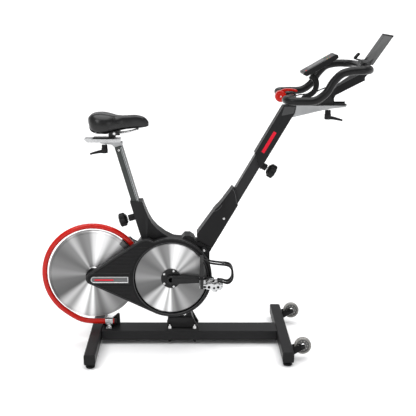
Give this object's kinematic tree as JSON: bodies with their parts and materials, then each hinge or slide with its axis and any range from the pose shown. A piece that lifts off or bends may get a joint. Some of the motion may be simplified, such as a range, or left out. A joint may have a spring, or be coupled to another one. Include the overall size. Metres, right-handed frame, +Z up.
{
  "type": "indoor cycling bike",
  "caption": "Stationary spin bike: V-shaped frame on a floor beam, rear flywheel in a ring guard, belt drive, caged pedals, sliding saddle and looped handlebar.",
  "frame": {"origin": "on the floor under the middle of the bike's overall length and width", "axes": "+X towards the handlebar, +Y to the rider's left, +Z up; the drive side faces -Y"},
  "size_m": [1.5403, 0.6766, 1.4114],
  "materials": {
    "frame_black": "matte black powder coat",
    "casting_black": "matte black powder coat on cast or extruded alloy",
    "black_alloy": "satin black anodised or coated",
    "post_grey": "dark grey satin coat",
    "steel_dark": "dark steel",
    "red_gloss": "gloss red enamel",
    "silver_alloy": "satin silver",
    "steel_bright": "polished steel",
    "brushed_disc": "circular brushed, bright",
    "machined_alloy": "machined",
    "cast_grey": "cast, bead blasted",
    "black_plastic": "fine moulded texture",
    "rubber_black": "matte",
    "grip_black": "soft touch coating",
    "castor_grey": "satin grey urethane",
    "tray_grey": "fine moulded texture",
    "saddle_vinyl": "grained vinyl over foam"
  },
  "bodies": {
    "frame": {"main_beam": "frame_black", "front_stabiliser": "frame_black", "rear_stabiliser": "frame_black", "front_end_cap_right": "black_plastic", "front_end_cap_left": "black_plastic", "rear_end_cap_right": "black_plastic", "rear_end_cap_left": "black_plastic", "main_frame": "casting_black", "frame_foot": "casting_black", "front_leg_shell": "casting_black", "front_post": "post_grey", "guard_ring": "red_gloss", "ring_clamp": "silver_alloy", "ring_bracket": "casting_black", "bottom_bracket": "steel_dark", "drive_belt": "rubber_black", "belt_guard": "black_plastic", "belt_guard_back": "black_plastic"},
    "front_foot_right": {"front_levelling_foot_right": "rubber_black"},
    "front_foot_left": {"front_levelling_foot_left": "rubber_black"},
    "rear_foot_right": {"rear_levelling_foot_right": "rubber_black"},
    "rear_foot_left": {"rear_levelling_foot_left": "rubber_black"},
    "castor_right": {"transport_wheel_right": "castor_grey"},
    "castor_left": {"transport_wheel_left": "castor_grey"},
    "crankset": {"crank_axle": "steel_bright", "drive_pulley": "machined_alloy", "pulley_disc": "brushed_disc", "crank_hub": "black_alloy", "crank_right": "casting_black", "crank_left": "casting_black"},
    "pedal_right_body": {"pedal_right": "silver_alloy", "toe_cage_right": "black_plastic"},
    "pedal_left_body": {"pedal_left": "silver_alloy", "toe_cage_left": "black_plastic"},
    "flywheel_body": {"flywheel": "brushed_disc", "flywheel_pulley": "machined_alloy", "flywheel_axle": "steel_dark"},
    "idler": {"belt_idler": "machined_alloy"},
    "magnets": {"magnet_carrier": "post_grey"},
    "seat_mast": {"seat_post": "post_grey", "seat_head": "cast_grey"},
    "seat_knob": {"seat_pin": "black_plastic"},
    "seat_lever": {"seat_slide_handle": "black_plastic"},
    "saddle": {"seat_slide": "silver_alloy", "saddle_clamp": "black_alloy", "saddle_rails": "steel_bright", "saddle_base": "black_plastic", "saddle_cushion": "saddle_vinyl"},
    "bar_mast": {"bar_post": "casting_black", "bar_head": "cast_grey"},
    "bar_knob": {"bar_pin": "black_plastic"},
    "bar_lever": {"bar_slide_handle": "black_plastic"},
    "bars": {"bar_stem": "black_alloy", "handlebar": "grip_black", "shifter_body": "black_plastic", "display": "black_plastic", "display_stalk": "black_plastic", "gear_cable": "rubber_black", "device_tray": "tray_grey"},
    "gear_lever": {"shift_lever": "red_gloss"}
  },
  "joints": [
    {"name": "front_foot_right_screw", "type": "slide", "parent": "frame", "child": "front_foot_right", "axis": [0, 0, -1], "range_m": [0, 0.012]},
    {"name": "front_foot_left_screw", "type": "slide", "parent": "frame", "child": "front_foot_left", "axis": [0, 0, -1], "range_m": [0, 0.012]},
    {"name": "rear_foot_right_screw", "type": "slide", "parent": "frame", "child": "rear_foot_right", "axis": [0, 0, -1], "range_m": [0, 0.012]},
    {"name": "rear_foot_left_screw", "type": "slide", "parent": "frame", "child": "rear_foot_left", "axis": [0, 0, -1], "range_m": [0, 0.012]},
    {"name": "castor_right_roll", "type": "hinge", "parent": "frame", "child": "castor_right", "pos_m": [0.416, -0.226, 0.067], "axis": [0, 1, 0], "continuous": true},
    {"name": "castor_left_roll", "type": "hinge", "parent": "frame", "child": "castor_left", "pos_m": [0.416, 0.226, 0.067], "axis": [0, 1, 0], "continuous": true},
    {"name": "crank_turn", "type": "hinge", "parent": "frame", "child": "crankset", "pos_m": [-0.17, 0, 0.327], "axis": [0, 1, 0], "continuous": true},
    {"name": "pedal_right_spin", "type": "hinge", "parent": "crankset", "child": "pedal_right_body", "pos_m": [0, -0.155, 0.327], "axis": [0, 1, 0], "continuous": true},
    {"name": "pedal_left_spin", "type": "hinge", "parent": "crankset", "child": "pedal_left_body", "pos_m": [-0.34, 0.155, 0.327], "axis": [0, 1, 0], "continuous": true},
    {"name": "flywheel_spin", "type": "hinge", "parent": "frame", "child": "flywheel_body", "pos_m": [-0.528, 0, 0.329], "axis": [0, 1, 0], "continuous": true},
    {"name": "idler_spin", "type": "hinge", "parent": "frame", "child": "idler", "pos_m": [-0.423, -0.054, 0.28], "axis": [0, 1, 0], "continuous": true},
    {"name": "magnet_swing", "type": "hinge", "parent": "frame", "child": "magnets", "pos_m": [-0.30114, 0, 0.39405], "axis": [0, -1, 0], "range_deg": [0, 8]},
    {"name": "seat_height", "type": "slide", "parent": "frame", "child": "seat_mast", "axis": [-0.279, 0, 0.9603], "range_m": [-0.12, 0.05]},
    {"name": "seat_pin_pull", "type": "slide", "parent": "frame", "child": "seat_knob", "axis": [-0.9603, 0, -0.279], "range_m": [0, 0.008], "stiffness_N_per_m": 1500, "springref_m": -0.004},
    {"name": "seat_lever_turn", "type": "hinge", "parent": "seat_mast", "child": "seat_lever", "pos_m": [-0.465, 0, 0.905], "axis": [0, 0, 1], "range_deg": [-90, 90]},
    {"name": "seat_fore_aft", "type": "slide", "parent": "seat_mast", "child": "saddle", "axis": [1, 0, 0], "range_m": [-0.035, 0.035]},
    {"name": "bar_height", "type": "slide", "parent": "frame", "child": "bar_mast", "axis": [0.5, 0, 0.866], "range_m": [-0.15, 0.05]},
    {"name": "bar_pin_pull", "type": "slide", "parent": "bar_mast", "child": "bar_knob", "axis": [0.866, 0, -0.5], "range_m": [0, 0.008], "stiffness_N_per_m": 1500, "springref_m": -0.004},
    {"name": "bar_lever_turn", "type": "hinge", "parent": "bar_mast", "child": "bar_lever", "pos_m": [0.525, 0, 1.065], "axis": [0, 0, 1], "range_deg": [-90, 90]},
    {"name": "bar_fore_aft", "type": "slide", "parent": "bar_mast", "child": "bars", "axis": [1, 0, 0], "range_m": [-0.03, 0.03]},
    {"name": "gear_lever_turn", "type": "hinge", "parent": "bars", "child": "gear_lever", "pos_m": [0.314, 0, 1.146], "axis": [0, -1, 0], "range_deg": [0, 60]}
  ],
  "couplings": [
    {"joint": "crank_turn", "follows": "flywheel_spin", "ratio": 0.11392},
    {"joint": "idler_spin", "follows": "flywheel_spin", "ratio": 1.2857},
    {"joint": "gear_lever_turn", "follows": "magnet_swing", "ratio": 7.5}
  ]
}
